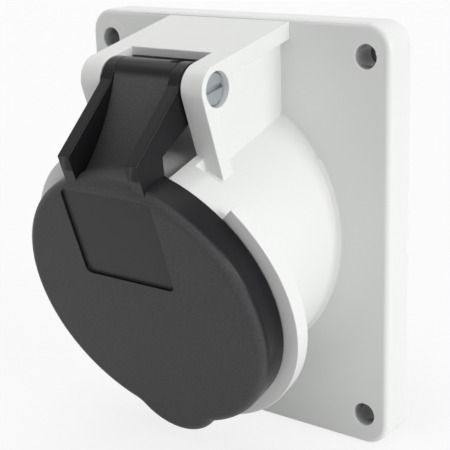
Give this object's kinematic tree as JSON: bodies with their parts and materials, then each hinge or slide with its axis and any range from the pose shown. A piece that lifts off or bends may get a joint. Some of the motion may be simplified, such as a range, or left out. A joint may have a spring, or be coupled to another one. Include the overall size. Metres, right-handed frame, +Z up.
{
  "type": "industrial socket",
  "caption": "Panel-mounted industrial power socket with an angled round mouth, a sprung hinged lid on a two-eared bracket and a rectangular flange.",
  "frame": {"origin": "on the panel face, in the middle of the four screw holes of the flange", "axes": "+X to the right seen from the front, +Z up along the panel, -Y out of the panel towards the user"},
  "size_m": [0.075, 0.0792, 0.085],
  "materials": {
    "grey_housing_plastic": "fine satin moulded polyamide, light grey",
    "dark_lid_plastic": "fine grained moulded plastic, dark grey",
    "black_seal_rubber": "matt soft rubber",
    "black_carrier_plastic": "satin moulded polyamide, black",
    "grey_block_plastic": "satin moulded polyamide, mid grey",
    "zinc_plated_steel": "bright zinc plating with a blue cast",
    "spring_steel": "drawn stainless spring wire",
    "contact_brass": "machined brass"
  },
  "bodies": {
    "base": {"housing": "grey_housing_plastic", "hinge_pin": "zinc_plated_steel", "pin_clip": "spring_steel", "lid_spring": "spring_steel", "contact_carrier": "black_carrier_plastic", "carrier_seal": "black_seal_rubber", "terminal_block": "grey_block_plastic", "flange_gasket": "black_seal_rubber", "contact_pe": "contact_brass", "contact_l1": "contact_brass", "contact_l2": "contact_brass", "contact_l3": "contact_brass", "contact_ring_pe": "spring_steel", "contact_ring_l1": "spring_steel", "contact_ring_l2": "spring_steel", "contact_ring_l3": "spring_steel", "terminal_screw_pe": "zinc_plated_steel", "terminal_screw_l1": "zinc_plated_steel", "terminal_screw_l2": "zinc_plated_steel", "terminal_screw_l3": "zinc_plated_steel", "block_screw_left": "zinc_plated_steel", "block_screw_right": "zinc_plated_steel"},
    "lid_body": {"lid": "dark_lid_plastic", "lid_seal": "black_seal_rubber"}
  },
  "joints": [
    {"name": "lid_hinge", "type": "hinge", "parent": "base", "child": "lid_body", "pos_m": [0, -0.0303, 0.0322], "axis": [-1, 0, 0], "range_deg": [0, 110], "stiffness_Nm_per_rad": 0.03, "springref_deg": -34.38, "deforming": ["lid_spring"]}
  ]
}
